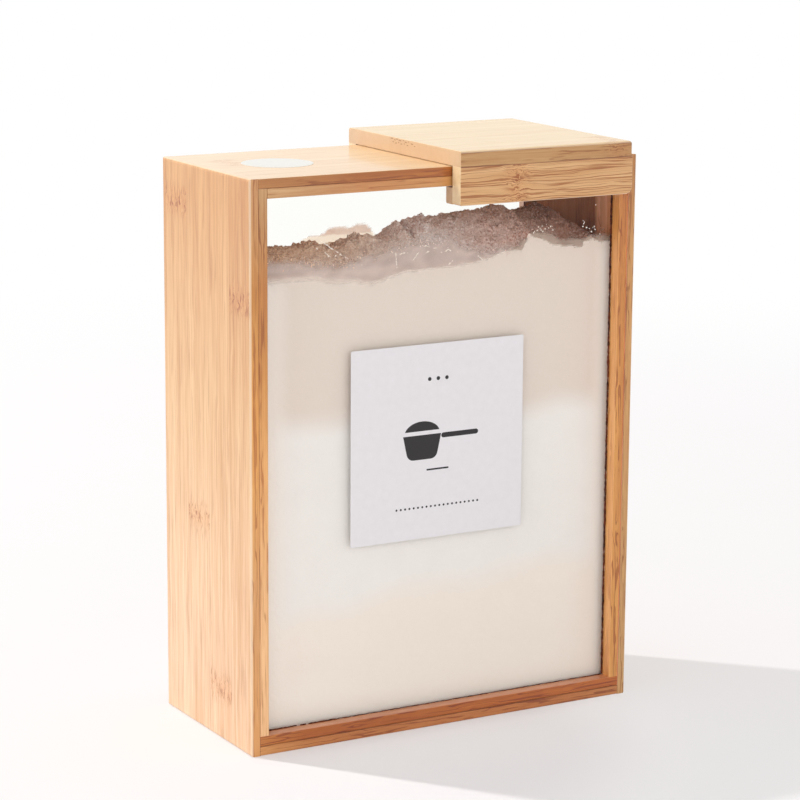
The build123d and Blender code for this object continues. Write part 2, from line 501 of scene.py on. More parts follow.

# %% [markdown]
# ## The boards, strips and lid
#
# Each board was cut from another blank, so each gets its own tones and its own seed. The case's
# sides are the palest, more so low down, where the paler tone paints the light that the white
# floor throws up on them. The edges that face front are redder, the top rail and the two bottom
# pieces most of all, and the lid's pieces lean to olive. The flaps' ends are paler, which paints
# the lamp's light on them, and the front right strip's face towards the window is paler too, which
# paints light where the side board shades it. Faces inside the box get darker tones, which paint
# the shade in there, and on the side boards a paler first slat towards the front, which paints the
# light that comes in by the window. The grain runs up the sides, and from left to right on
# everything that lies flat. Stops of colour are given in millimetres along the grain, and a
# knuckle's place across and along it.

# %% Dress the boards
# Paler low down: the paler tone paints the light that the white floor throws up.
SIDE_FACE_PAINTED_BOUNCE = [(30, (235, 192, 151)), (170, (224, 178, 127)), (285, (210, 154, 97))]
SIDE_END = [(0, (240, 205, 161))]
LEFT_EDGE = [
    (15, (236, 178, 113)), (85, (226, 168, 107)), (150, (236, 170, 91)), (185, (234, 166, 84)),
    (240, (213, 149, 73)), (292, (218, 164, 111))]
RIGHT_EDGE = [(15, (203, 155, 97)), (200, (203, 146, 83)), (290, (195, 134, 70))]
TOP_FACE = [(-110, (241, 206, 161)), (60, (238, 197, 143))]
TOP_EDGE = [
    (-108, (184, 121, 62)), (-85, (180, 116, 57)), (-50, (175, 102, 38)), (0, (185, 109, 36))]
BASE_FACE = [(0, (228, 184, 138))]
BASE_EDGE = [
    (-110, (211, 145, 80)), (-80, (192, 118, 57)), (80, (193, 119, 58)), (110, (201, 133, 73))]
LID_FACE = [(0, (236, 204, 150))]
LID_FRONT = [(0, (209, 164, 107))]
LID_END = [(0, (218, 181, 140))]
FLAP_FACE = [(0, (219, 169, 113))]
# The flaps' ends are paler than their faces, which paints the lamp's light on them.
FLAP_END_PAINTED_LIGHT = [(0, (240, 210, 164))]
LIP_END = [(0, (205, 163, 115))]
LEFT_STRIP = [
    (20, (237, 182, 126)), (85, (240, 183, 123)), (148, (236, 171, 101)), (200, (211, 142, 68)),
    (245, (192, 122, 54)), (294, (201, 153, 100))]
RIGHT_STRIP = [(20, (216, 148, 72)), (150, (214, 144, 67)), (280, (200, 124, 50))]
# The front right strip's face towards the window is pale, which paints light where the side board
# shades it; the back one keeps its own tone.
RIGHT_STRIP_SIDE_PAINTED_LIGHT = {"front": [(0, (240, 173, 104))], "back": [(0, (206, 158, 130))]}
TOP_STRIP = [
    (-104, (214, 168, 116)), (-80, (208, 156, 104)), (-50, (206, 141, 84)), (0, (210, 149, 85))]
BASE_STRIP = [
    (-108, (196, 120, 48)), (-85, (179, 95, 20)), (0, (180, 96, 20)), (100, (186, 98, 22))]
BASE_LEDGE = [(0, (214, 138, 90))]
LEFT_JOINT, RIGHT_JOINT, BASE_JOINT = ("X", -110.5), ("X", 110.5), ("Z", 5)
TOP_JOINT, LID_JOINT = ("Z", 295), ("Z", 300.3)
# Tones for faces inside the box, which paint the shade in there.
INSIDE_PAINTED_SHADE = (190, 132, 88)
BASE_INSIDE_PAINTED_SHADE = (200, 142, 96)
FLAP_INSIDE_PAINTED_SHADE = (120, 76, 46)


def put_on(node, material):
    """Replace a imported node's finish. Its mesh stays as it is."""
    nodes[node].data.materials.clear()
    nodes[node].data.materials.append(material)


def dress(node, *cut, **marks):
    put_on(node, bamboo("bamboo_" + node, *cut, **marks))


dress("left_side_board", "Z", "Y", [SIDE_FACE_PAINTED_BOUNCE, LEFT_EDGE, SIDE_END], 1.7,
      [(30, 279), (-40, 237), (12, 115), (-8, 28)], seam_at=-3 * MM, lines=(0.35, 0.8),
      worn_rim=0.6, joints=[LEFT_JOINT], inside=("X", 1, INSIDE_PAINTED_SHADE, (200, 144, 100)))
dress("right_side_board", "Z", "Y", [SIDE_FACE_PAINTED_BOUNCE, RIGHT_EDGE, SIDE_END], 23.1,
      [(-30, 60), (8, 190), (35, 120), (-8, 255)], lines=(0.35, 0.9), wander=2 * MM,
      worn_rim=0.3, joints=[RIGHT_JOINT], inside=("X", -1, (180, 111, 60), (255, 190, 152)))
dress("bottom_board", "X", "Y", [BASE_FACE, BASE_EDGE], 31.9, [(-30, -60), (12, 40)],
      lines=(0.4, 1.0), wander=2 * MM, crowd=0.06, joints=[LEFT_JOINT, BASE_JOINT],
      inside=("Z", 1, BASE_INSIDE_PAINTED_SHADE, BASE_INSIDE_PAINTED_SHADE))
dress("top_board", "X", "Y", [TOP_FACE, TOP_EDGE], 47.3, [(12, -95)], lines=(0.2, 0.7),
      calm=0.5, joints=[TOP_JOINT], inside=("Z", -1, INSIDE_PAINTED_SHADE, INSIDE_PAINTED_SHADE))
dress("lid_board", "X", "Y", [LID_FACE, LID_FRONT, LID_END], 52.4, [(-58, 97)],
      seam_at=-60 * MM, lines=(0.15, 0.9), calm=0.6, edge_knots=True, worn_rim=0.4,
      joints=[LID_JOINT])
for side, seed, inward in (("front", 60.0, 1), ("back", 100.0, -1)):
    dress(f"{side}_left_strip", "Z", "Y", [LEFT_STRIP, LEFT_STRIP], seed + 1.3,
          lines=(0.5, 0.8), joints=[LEFT_JOINT])
    dress(f"{side}_right_strip", "Z", "Y", [RIGHT_STRIP_SIDE_PAINTED_LIGHT[side], RIGHT_STRIP], seed + 5.9,
          lines=(0.5, 1.0), wander=2.5 * MM, joints=[RIGHT_JOINT])
    dress(f"{side}_top_strip", "X", "Y", [TOP_STRIP, TOP_STRIP], seed + 12.1, lines=(0.4, 0.5))
    dress(f"{side}_bottom_strip", "X", "Y", [BASE_LEDGE, BASE_STRIP], seed + 17.7,
          lines=(0.3, 1.0), wander=2.5 * MM, crowd=0.08, joints=[LEFT_JOINT, BASE_JOINT])
    dress(f"lid_{side}_flap", "X", "Z", [FLAP_FACE, FLAP_FACE, FLAP_END_PAINTED_LIGHT], seed + 22.5,
          [(290, 35)], seam_at=275 * MM, lines=(1.0, 0.6), crowd=0.14, worn_rim=0.6,
          contour_breadth=1.5 * MM, joints=[LID_JOINT],
          inside=("Y", inward, FLAP_INSIDE_PAINTED_SHADE, FLAP_INSIDE_PAINTED_SHADE))
    dress(f"lid_{side}_lip", "X", "Z", [FLAP_FACE, FLAP_FACE, LIP_END], seed + 29.0,
          lines=(0.6, 0.6), contour_breadth=1.5 * MM)
print(len(bpy.data.materials), "finishes so far")

# %% [markdown]
# ## Acrylic windows
#
# Clear acrylic lets nearly everything through and mirrors a little, more so at a flat angle.
# Glass shading could do both, but it would leave the powder behind it dark and noisy. Here a
# transparent shader passes light and shadow straight on, and one node turns the angle and the
# plastic's index into the mirror's share. The mirror is a white metal, nearly polished, with a
# faint haze from wiping.

# %% Acrylic finish
ACRYLIC_IOR = 1.3
HAZE_STRETCH = (25.0, 25.0, 9.0)


def acrylic():
    material, net, place = new_finish("clear_acrylic")
    haze = place.vector_maths("MULTIPLY", HAZE_STRETCH).cloud(detail=3.0)
    mirror = net.node("ShaderNodeBsdfPrincipled", values={
        "Base Color": tint(250, 251, 251), "Metallic": 1.0, "Roughness": 0.02 + 0.05 * haze})
    clear = net.node("ShaderNodeBsdfTransparent", values={"Color": tint(255, 255, 254)})
    behind = net.node("ShaderNodeNewGeometry", out="Backfacing")
    share = net.node("ShaderNodeFresnel", values={"IOR": ACRYLIC_IOR}) * (1.0 - behind)
    net.surface(net.node("ShaderNodeMixShader", values=[share, clear, mirror]))
    return material


clear_acrylic = acrylic()
for side in ("front", "back"):
    put_on(f"{side}_window", clear_acrylic)
print("Looking straight in, a face of the acrylic mirrors",
      round(((ACRYLIC_IOR - 1) / (ACRYLIC_IOR + 1)) ** 2, 3))

# %% [markdown]
# ## Stickers
#
# The square label and the round sticker on the lid's track are coated paper. Paper is never
# one flat white: its fibres leave a faint cloudiness and its coating a slight unevenness in
# the shine, so both come from noise at the size of a paper's formation, a few millimetres.

# %% Paper finish
def paper(name, deep, pale, roughness):
    material, net, place = new_finish(name)
    formation, tooth = place.cloud(4 * MM, 4.0), place.cloud(0.35 * MM)
    net.principled(Base_Color=blend(formation, tint(*deep), tint(*pale)), IOR=1.45,
                   Roughness=roughness + 0.1 * (formation - 0.5),
                   Normal=tooth.bump(0.2, 0.02 * MM))
    return material


put_on("label", paper("label_paper", (230, 228, 230), (238, 236, 239), 0.55))
put_on("round_sticker", paper("sticker_paper", (226, 224, 216), (232, 230, 223), 0.35))
print("Two papers dress", [name for name in ("label", "round_sticker") if name in nodes])

# %% [markdown]
# ## The print on the label
#
# The label says what is inside by a plain drawing of a measuring scoop, with a short rule under
# it, three dots above and a dotted line below to write on. An image could carry it, but ink
# lies on the paper as a film, so each mark is a flat outline given a hair of thickness, which
# stays sharp at any size. Small functions draw a bar with round ends, an arc and the bowl.

# %% Print
INK_FILM = 0.03 * MM
DOT_COUNT = 20
DOT_SPACING = 2.6
UP = Vector((0, 0, 1))


def arc(x, z, radius, start, end, steps):
    """Points on an arc about x and z, in degrees."""
    angles = [math.radians(start + (end - start) * i / steps) for i in range(steps + 1)]
    return [(x + radius * math.cos(a), z + radius * math.sin(a)) for a in angles]


def round_bar(x, z, length, thickness, slope=0.0):
    """A bar with round ends, about its middle, turned by slope degrees."""
    half, radius = (length - thickness) / 2, thickness / 2
    outline = arc(half, 0, radius, -90, 90, 8) + arc(-half, 0, radius, 90, 270, 8)
    c, s = math.cos(math.radians(slope)), math.sin(math.radians(slope))
    return [(x + c * a - s * b, z + s * a + c * b) for a, b in outline]


def scoop_outline(x, z):
    """The scoop's bowl from the side: a flat rim, and a wall that rounds into a flat base."""
    left = arc(x - 5.2, z - 5.4, 4.2, 192, 270, 8)
    right = arc(x + 5.2, z - 5.4, 4.2, -90, -12, 8)
    return [(x - 11.5, z + 3.6), *left, *right, (x + 11.5, z + 3.6)]


def label_outlines():
    heap = [(x, 4.6 + (z - 4.6) * 0.62) for x, z in arc(-9.5, 4.6, 10.6, 12, 168, 14)]
    outlines = [scoop_outline(-9.5, 0.2), heap, round_bar(13.4, 2.6, 22.6, 2.7),
                round_bar(0, -15.2, 13.5, 0.9)]
    outlines += [arc(x, 33.4, 1.05, 0, 345, 23) for x in (-5.2, 0, 5.2)]
    places = [(i - (DOT_COUNT - 1) / 2) * DOT_SPACING for i in range(DOT_COUNT)]
    return outlines + [arc(x, -35.2, 0.6, 0, 330, 11) for x in places]


def thicken(builder, step):
    """Give flat faces a thickness: a copy that is moved by step, and walls between."""
    raised = bmesh.ops.extrude_face_region(builder, geom=builder.faces[:])["geom"]
    lifted = [item for item in raised if isinstance(item, bmesh.types.BMVert)]
    bmesh.ops.translate(builder, verts=lifted, vec=step)
    bmesh.ops.recalc_face_normals(builder, faces=builder.faces)


def built_mesh(name, builder):
    mesh = bpy.data.meshes.new(name)
    builder.to_mesh(mesh)
    builder.free()
    return mesh


def film_piece(name, outlines, corner, right, material):
    """One mesh of thin films in an upright plane through corner. right is its level axis."""
    builder = bmesh.new()
    for outline in outlines:
        ring = [corner + right * (x * MM) + UP * (z * MM) for x, z in outline]
        builder.faces.new([builder.verts.new(point) for point in ring])
    thicken(builder, right.cross(UP) * INK_FILM)
    piece = new_object(name, built_mesh(name, builder))
    piece.data.materials.append(material)
    return piece


def speckled(name, size, deep, pale, roughness):
    """A plain finish of two close tones, mixed by noise of this size."""
    material, net, place = new_finish(name)
    grain = place.cloud(size)
    net.principled(Base_Color=blend(grain, tint(*deep), tint(*pale)),
                   Roughness=roughness + 0.2 * grain)
    return material


label_low, label_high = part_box("label")
label_middle = (label_low + label_high) / 2
label_middle.y = label_low.y
ink = speckled("black_ink", 0.5 * MM, (24, 22, 24), (46, 43, 45), 0.4)
label_print = film_piece("label_print", label_outlines(), label_middle, Vector((1, 0, 0)), ink)
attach(label_print, "case")
print("The print has", len(label_print.data.polygons), "faces")

# %% [markdown]
# The lid board's left end shows a few dark fibre ends near its top edge. They are short flecks
# that lie nearly level, made as the print is, but in the plane of that end. Each is given by
# its middle, its length and its slope.

# %% Fibre ends on the lid
FIBRE_ENDS = [
    (-11.8, -0.8, 2.4, 4), (-8.6, -1.3, 1.3, -6), (-6.4, -0.7, 2.0, 3), (-3.1, -1.1, 2.8, -3),
    (0.4, -0.8, 1.4, 8), (2.9, -1.4, 2.2, -5), (6.0, -0.9, 1.2, 2), (-10.4, -2.5, 1.5, -8),
    (-7.4, -2.9, 2.1, 6), (-4.6, -2.3, 1.1, -10), (-1.6, -2.8, 1.9, 5), (1.5, -2.4, 1.2, -7),
    (4.8, -2.9, 1.7, 4), (9.6, -1.7, 2.3, -4), (12.4, -2.6, 1.2, 7)]

lid_low, lid_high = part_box("lid_board")
lid_corner = Vector((lid_low.x, 0, lid_high.z))
strokes = [round_bar(y, z, length, 0.45, slope) for y, z, length, slope in FIBRE_ENDS]
fibre_finish = speckled("fibre_ends", 0.8 * MM, (138, 100, 68), (186, 142, 104), 0.5)
fibre_ends = film_piece("fibre_ends", strokes, lid_corner, Vector((0, -1, 0)), fibre_finish)
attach(fibre_ends, "lid")
print(len(strokes), "fibre ends show on the lid")

# %% [markdown]
# ## The powder
#
# Powder that was poured in through the mouth lies in a crumbly heap, lower at the left front
# and higher at the back right. Against the windows it is pressed flat and pale, and its top is
# darker and broken into lumps. A few lines across the heap, from the front window to the back
# one, give its form, with a hollow behind the crest on the left. Sculpting could do that too,
# but a fine grid that follows rules can be changed later. Distances to scattered points round
# off its lumps, turbulence roughens them, and the walls hang from its rim.

# %% Powder mesh
POWDER_GAP = 0.5 * MM
GRID_STEP = 0.7 * MM
CREST_AT = -14 * MM
HOLLOW_AT = 22 * MM
WALL_DROPS = (6 * MM, 20 * MM, None)  # None stands for the base
RIM_LINE = [
    (-110, 248.6), (-100, 248.4), (-90, 248.4), (-82, 248.8), (-71, 248.2), (-64.5, 246.3),
    (-57.6, 245.4), (-51.7, 246), (-46, 244.2), (-40, 242.8), (-34, 243.6), (-28, 245.6),
    (-20.5, 246.6), (-11.6, 246.8), (0.4, 247), (11, 247), (18.6, 247.6), (27.8, 248.8),
    (35.8, 251.4), (40, 252.7), (46.3, 252.8), (50.6, 252.5), (53, 256.9), (54.8, 260.5),
    (62.4, 257.8), (71.9, 253.9), (80.8, 252.7), (88.4, 252), (89.6, 254.6), (94.7, 255.4),
    (99.9, 254), (110, 253.6)]
CREST_LINE = [
    (-110, 259.8), (-87, 259.6), (-69.5, 258.6), (-65.4, 260.2), (-63.6, 259.2), (-61, 261),
    (-59, 260.4), (-54.3, 257.4), (-46, 258), (-41.3, 261), (-39.7, 260.4), (-35.4, 262.2),
    (-31.4, 263), (-25, 261.8), (-20.6, 261.2), (-16, 262.4), (-13.6, 265.4), (-11.5, 267.6),
    (-7, 264.4), (-5, 269.6), (-3.6, 269.2), (3.5, 270), (7.6, 268), (9.4, 268.6), (22, 269.6),
    (38, 270.8), (54, 272.6), (57, 268), (67, 268.4), (79.5, 271), (90, 264.2), (98, 258),
    (110, 250.6)]
HOLLOW_LINE = [
    (-110, 249.6), (-80, 249.8), (-60, 249.4), (-36, 247.6), (-12, 248.4), (0, 250.6), (8, 254.6),
    (20, 258), (40, 259.4), (60, 260.6), (76, 261.4), (88, 260), (100, 258), (110, 255)]
BACK_LINE = [
    (-110, 249.4), (-59, 249.2), (-38, 249), (-33, 249.2), (-25, 249.6), (-9, 249.8), (-3, 250),
    (3, 249.6), (11, 251.4), (26, 255.4), (38, 256.6), (60, 258.8), (78, 260.4), (87, 260),
    (91, 258.6), (101, 259), (110, 257)]


def eased(share):
    return share * share * (3 - 2 * share)


def line_height(line, x):
    """The height of a line at x, with eased runs between its points."""
    for (x0, z0), (x1, z1) in zip(line, line[1:]):
        if x <= x1:
            return z0 + (z1 - z0) * eased((x - x0) / (x1 - x0))
    return line[-1][1]


def lumps(x, y, size, seed):
    """Rounded lumps of about this size: high at their middles, low in the clefts, about 0."""
    nearest = noise.voronoi(Vector((x / size, y / size, seed)))[0][0]
    return max(0.0, 1.0 - nearest * nearest * 1.6) - 0.55


def heap_relief(x, y):
    """Lumps and crumbs on the heap, in millimetres, about zero."""
    rough = noise.turbulence(Vector((x / 9, y / 9, 3.1)), 4, False)
    big = lumps(x + 2.5 * rough, y, 7.5, 1.0)
    middling = lumps(x, y + 1.5 * rough, 3.4, 5.0)
    small = lumps(x, y, 1.7, 9.0)
    return 1.5 * big + 1.1 * middling + 0.6 * small + 1.2 * (rough - 0.8)


powder_low, powder_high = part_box("powder_fill")
half_length = (powder_high.x - powder_low.x) / 2 - POWDER_GAP
half_breadth = (powder_high.y - powder_low.y) / 2 - POWDER_GAP
HEAP_LINES = [(-half_breadth, RIM_LINE), (CREST_AT, CREST_LINE), (HOLLOW_AT, HOLLOW_LINE),
              (half_breadth, BACK_LINE)]


def heap_height(x, y):
    """The height of the powder over a point, all in metres."""
    for (y0, near), (y1, far) in zip(HEAP_LINES, HEAP_LINES[1:]):
        if y <= y1:
            share = max(0.0, (y - y0) / (y1 - y0))
            share = share * (2 - share) if near is RIM_LINE else eased(share)
            base = line_height(near, x / MM) * (1 - share) + line_height(far, x / MM) * share
            break
    else:
        base = line_height(BACK_LINE, x / MM)
    pressed = abs(y / half_breadth) ** 8
    return (base + heap_relief(x / MM, y / MM) * (1.0 - 0.65 * pressed)) * MM


def grid_of(half_x, half_y, step):
    """The x and y values of an even grid about the middle."""
    columns, rows = round(2 * half_x / step), round(2 * half_y / step)
    xs = [half_x * (2 * i / columns - 1) for i in range(columns + 1)]
    return xs, [half_y * (2 * j / rows - 1) for j in range(rows + 1)]


def powder_mesh():
    """A closed mesh: the heap's grid, four walls below its rim, and a flat base."""
    xs, ys = grid_of(half_length, half_breadth, GRID_STEP)
    builder = bmesh.new()
    depth = builder.verts.layers.float.new("rim_depth")
    relief = builder.verts.layers.float.new("relief")
    mean = sum(heap_relief(x / MM, 0) for x in xs) / len(xs)
    grid = []
    for x in xs:
        grid.append([builder.verts.new((x, y, heap_height(x, y))) for y in ys])
        for vert, y in zip(grid[-1], ys):
            vert[relief] = heap_relief(x / MM, y / MM) - mean
    for near, far in zip(grid, grid[1:]):
        for j in range(len(ys) - 1):
            builder.faces.new((near[j], far[j], far[j + 1], near[j + 1]))
    front, back = [[column[end] for column in grid] for end in (0, -1)]
    rim = front[:-1] + grid[-1][:-1] + back[:0:-1] + grid[0][:0:-1]
    above = rim
    for drop in WALL_DROPS:
        below = []
        for top in rim:
            z = powder_low.z + POWDER_GAP if drop is None else top.co.z - drop
            below.append(builder.verts.new((top.co.x, top.co.y, z)))
            below[-1][depth] = top.co.z - z
        for k in range(len(rim)):
            builder.faces.new((above[k], above[k - 1], below[k - 1], below[k]))
        above = below
    builder.faces.new(above[::-1])
    return built_mesh("powder", builder)


powder = new_object("powder", powder_mesh())
print("The powder has", len(powder.data.polygons), "faces and stands",
      round(max(v.co.z for v in powder.data.vertices) / MM, 1), "mm high")

# %% [markdown]
# The powder's colour follows its place. Pressed against the window it is pale cream, in three
# bands at different heights whose borders wave a little. Towards both ends it is paler, which
# paints light where the strips shade it, and just below the rim darker, which paints shade. The
# open top is mauve brown; it is more orange at the left, which paints the light that the board's
# colour throws on it, darker at the right and in the clefts, which paints shade, and cream at the
# back on the left, which paints a band of sunlight. An image would need an unwrapped mesh; here
# the mesh carries the depth below its rim and its relief as attributes, which the finish reads.

# %% Powder finish
# The orange at the left paints light that the board throws on the top; the dark end at the right
# paints shade.
CRUST_TONES_WITH_PAINTED_LIGHT = [
    (-100, (255, 222, 182)), (-35, (255, 240, 226)), (0, (255, 252, 255)), (28, (240, 224, 222)),
    (50, (224, 199, 192)), (78, (168, 129, 113))]
CREAM_LAYERS = [(0.08, (160, 178), (234, 221, 212)), (-0.06, (80, 62), (248, 238, 230)),
                (0.0, (45, 8), (252, 245, 238))]
RIM_BAND = (0.6 * MM, 0.05 * MM)


def powder_finish(name, only_crumbs=False):
    material, net, object_place = new_finish(name)
    place = object_place.split()
    fine, grit, grain, soft = [object_place.cloud(size * MM, 3.0) for size in (0.5, 2.5, 1.1, 14)]

    crust = place["X"].ramp(CRUST_TONES_WITH_PAINTED_LIGHT)
    crust = multiply(grit.ease(0.4, 0.62), crust, tint(250, 244, 240))
    crust = multiply(fine.ease(0.42, 0.6), crust, tint(233, 220, 212))
    rougher = 0.35 + 0.65 * soft.ease(0.40, 0.62)
    crust = multiply(grain.ease(0.52, 0.64) * rougher, crust, tint(214, 190, 182))
    crust = blend(grain.ease(0.48, 0.38) * rougher * 0.35, crust, tint(255, 238, 234))
    crust = multiply(soft * 0.4, crust, tint(242, 226, 218))
    # A cream band at the back on the left paints sunlight falling there.
    painted_sunlit_band = place["Y"].ease(12 * MM, 20 * MM) * place["X"].ease(0.0, -12 * MM)
    crust = blend(painted_sunlit_band, crust, blend(grit, tint(255, 244, 232), tint(255, 238, 218)))
    rough = 1.0
    if only_crumbs:
        colour = blend(fine.ease(0.60, 0.85), crust, tint(244, 230, 218))
    else:
        relief, depth = net.attribute("relief"), net.attribute("rim_depth")
        # Darker in the clefts: painted shade.
        clefts = relief.ease(0.2, -1.8) * 0.5 * (1.0 - 0.7 * painted_sunlit_band)
        crust = blend(clefts, crust, tint(168, 134, 120))
        wave = object_place.cloud(60 * MM, 1.0) - 0.5
        height = place["Z"] - place["X"] * 0.01 + wave * (30 * MM)
        cream = blend(soft, tint(243, 239, 237), tint(247, 244, 242))
        for slope, (start, end), tone in CREAM_LAYERS:
            layer = (height + place["X"] * slope).ease(start * MM, end * MM)
            cream = blend(layer, cream, tint(*tone))
        # Paler towards both ends, which paints light where the strips shade the powder.
        border = place["X"].ease(-84 * MM, -104 * MM) + place["X"].ease(93 * MM, 107 * MM)
        cream = blend(border, cream, tint(255, 248, 242))
        cream = blend(fine.ease(0.60, 0.75) * 0.2, cream, tint(228, 212, 202))
        # Darker just below the rim: painted shade.
        reach = depth / MM + (soft - 0.5) * 6.0
        cream = blend(reach.ease(9.0, 0.0) * 0.5, cream, tint(230, 215, 206))
        top = depth.ease(*RIM_BAND)
        colour = blend(top, cream, crust)
        rough = 0.5 + 0.5 * top
    net.principled(Base_Color=colour, Roughness=0.85 + 0.1 * (fine - 0.5),
                   Normal=((fine + grit * 2.0) * rough).bump(0.5, 0.5 * MM),
                   Specular_IOR_Level=0.25)
    return material


powder.data.materials.append(powder_finish("packed_powder"))
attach(powder, "case")
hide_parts("powder_fill")
rim_heights = [z for x, z in RIM_LINE]
print("The powder's rim lies between", min(rim_heights), "and", max(rim_heights), "mm")

# %% [markdown]
# ## Trees that grow things
#
# Crumbs, dust and the dark bead that paints shadow in the windows' corners are many small things
# that follow a surface or a line, which is what Geometry Nodes are for. A tree gets a mesh and a
# few named sizes. `grow` runs it once and keeps the result as a plain mesh, so that nothing is
# left to work out later. A tree is wired with the same `Wiring` class as a finish, because Math
# and Noise nodes are the same in both.

# %% Helpers for Geometry Nodes
def new_tree(name, sizes):
    """A tree with a mesh in, a mesh out and a number in for each of its sizes."""
    tree = bpy.data.node_groups.new(name, "GeometryNodeTree")
    for way in ("OUTPUT", "INPUT"):
        tree.interface.new_socket("Geometry", in_out=way, socket_type="NodeSocketGeometry")
    for size in sizes:
        tree.interface.new_socket(size, in_out="INPUT", socket_type="NodeSocketFloat")
    net = Wiring(tree)
    entry = tree.nodes.new("NodeGroupInput")
    return net, {socket.name: Signal(net, socket) for socket in entry.outputs if socket.name}


def end_tree(net, geometry, material):
    whole = net.node("GeometryNodeRealizeInstances", values=[geometry])
    values = {"Geometry": whole, "Material": material}
    net.node("NodeGroupOutput", values=[net.node("GeometryNodeSetMaterial", values=values)])


def grow(name, base_mesh, net, slot, **sizes):
    """Run a tree on a mesh, and make what it grew a piece that rides on the case."""
    piece = new_object(name, base_mesh)
    modifier = piece.modifiers.new("growth", "NODES")
    modifier.node_group = net.tree
    for item in net.tree.interface.items_tree:
        if item.name in sizes:
            modifier[item.identifier] = float(sizes[item.name])
    grown = piece.evaluated_get(bpy.context.evaluated_depsgraph_get())
    piece.data = bpy.data.meshes.new_from_object(grown)
    piece.modifiers.remove(modifier)
    bpy.data.meshes.remove(base_mesh)
    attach(piece, "case")
    print(name, "has", len(piece.data.polygons), "faces")


def mesh_with(name, points, faces, edges=(), **attributes):
    """A mesh whose points carry the given numbers as attributes."""
    mesh = bpy.data.meshes.new(name)
    mesh.from_pydata(points, edges, faces)
    for key, values in attributes.items():
        layer = mesh.attributes.new(key, "FLOAT", "POINT")
        layer.data.foreach_set("value", np.array(values, dtype=np.float32))
    return mesh


def grid_faces(columns, rows):
    """The faces of a grid whose points are listed column by column."""
    corners = [(i * rows + j, (i + 1) * rows + j) for i in range(columns - 1)
               for j in range(rows - 1)]
    return [(a, b, b + 1, a + 1) for a, b in corners]


def roughen(net, geometry, lump, most, stretch=(1.0, 1.0, 1.0)):
    """Push points about by noise with lumps of this size, so that no two parts are alike."""
    push = net.node("GeometryNodeInputPosition").cloud(lump, out=NOISE_COLOUR)
    push = push.vector_maths("SUBTRACT", (0.5, 0.5, 0.5)).vector_maths("MULTIPLY", stretch)
    values = {"Geometry": geometry, "Offset": push.vector_maths("SCALE", most)}
    return net.node("GeometryNodeSetPosition", values=values)


print("A grid of 3 by 3 points has", len(grid_faces(3, 3)), "faces")

# %% [markdown]
# ## Crumbs on the heap
#
# Loose crumbs of half a millimetre to two and a half lie all over the heap. The tree scatters
# points on a bed, which is the heap's surface without a margin at the walls, and puts a small
# stone on each, turned and stretched at random. Noise then dents all stones together. Particles
# could scatter them too, but a tree keeps its sizes in sight, and twenty faces do for a crumb.

# %% Crumbs
CRUMB_MARGIN = 1.4 * MM
CRUMB_DENTS = 1.3 * MM
CRUMB_STRETCH = ((0.6, 0.6, 0.45), (1.2, 1.2, 0.9))
SEED = 7
FULL_TURN = 2 * math.pi


def random_number(net, low, high, seed):
    values = {2: low, 3: high, 8: seed}
    return net.node("FunctionNodeRandomValue", {"data_type": "FLOAT"}, values, 1)


def random_vector(net, low, high, seed):
    values = {0: low, 1: high, 8: seed}
    return net.node("FunctionNodeRandomValue", {"data_type": "FLOAT_VECTOR"}, values)


def plant(net, points, stone, sizes, turn, stretch):
    """Put a stone on every point. turn is the most that it turns about each axis."""
    size = random_number(net, 0.0, 1.0, SEED)
    size = sizes["Smallest"] + (sizes["Largest"] - sizes["Smallest"]) * size * size
    scale = random_vector(net, *stretch, SEED + 1).vector_maths("SCALE", size)
    angles = random_vector(net, (0, 0, 0), turn, SEED + 2)
    turned = net.node("FunctionNodeEulerToRotation", values=[angles])
    return net.node("GeometryNodeInstanceOnPoints", values={
        "Points": points, "Instance": stone, "Rotation": turned, "Scale": scale})


def scattered(net, sizes):
    """Points all over the mesh that came in, thinned out by its share attribute."""
    values = {"Mesh": sizes["Geometry"], "Seed": SEED,
              "Density": sizes["Density"] * net.attribute("share")}
    settings = {"distribute_method": "RANDOM"}
    return net.node("GeometryNodeDistributePointsOnFaces", settings, values)


def crumb_tree(material):
    net, sizes = new_tree("crumbs", ["Density", "Smallest", "Largest", "Dent"])
    stone = net.node("GeometryNodeMeshIcoSphere", values={"Radius": 1.0, "Subdivisions": 1})
    stones = plant(net, scattered(net, sizes), stone, sizes, (FULL_TURN,) * 3, CRUMB_STRETCH)
    whole = net.node("GeometryNodeRealizeInstances", values=[stones])
    dented = roughen(net, whole, CRUMB_DENTS, sizes["Dent"])
    end_tree(net, net.node("GeometryNodeSetShadeSmooth", values=[dented]), material)
    return net


def wobble(x, y, z):
    return noise.noise(Vector((x, y, z)))


def crumb_bed():
    xs, ys = grid_of(half_length - CRUMB_MARGIN, half_breadth - CRUMB_MARGIN, 2 * GRID_STEP)
    points = [(x, y, heap_height(x, y)) for x in xs for y in ys]
    share = [0.35 + 0.9 * max(0.0, wobble(x / MM / 16, y / MM / 16, 4.0) + 0.25)
             for x, y, z in points]
    return mesh_with("crumb_bed", points, grid_faces(len(xs), len(ys)), share=share)


crumb_finish = powder_finish("loose_crumbs", only_crumbs=True)
grow("crumbs", crumb_bed(), crumb_tree(crumb_finish), "powder",
     Density=0.62 / MM ** 2, Smallest=0.25 * MM, Largest=1.4 * MM, Dent=0.9 * MM)

# %% [markdown]
# ## Dust on the windows
#
# Where the heap has slid along a window, fines cling to the acrylic: a soft veil that hides the
# crumbs behind it and single grains round its border. A few near-white specks paint sparkle, and
# pale strokes paint the highlit edges of folds in the heap.
# Dust could be mixed into the acrylic's own finish, but then it would lie on the outside. So the
# veil is a thin sheet just behind the window, whose transparency follows an attribute. The grains
# are flat stones of eight faces, scattered by such an attribute. The specks and the points along
# the strokes are listed, and get a stone each.

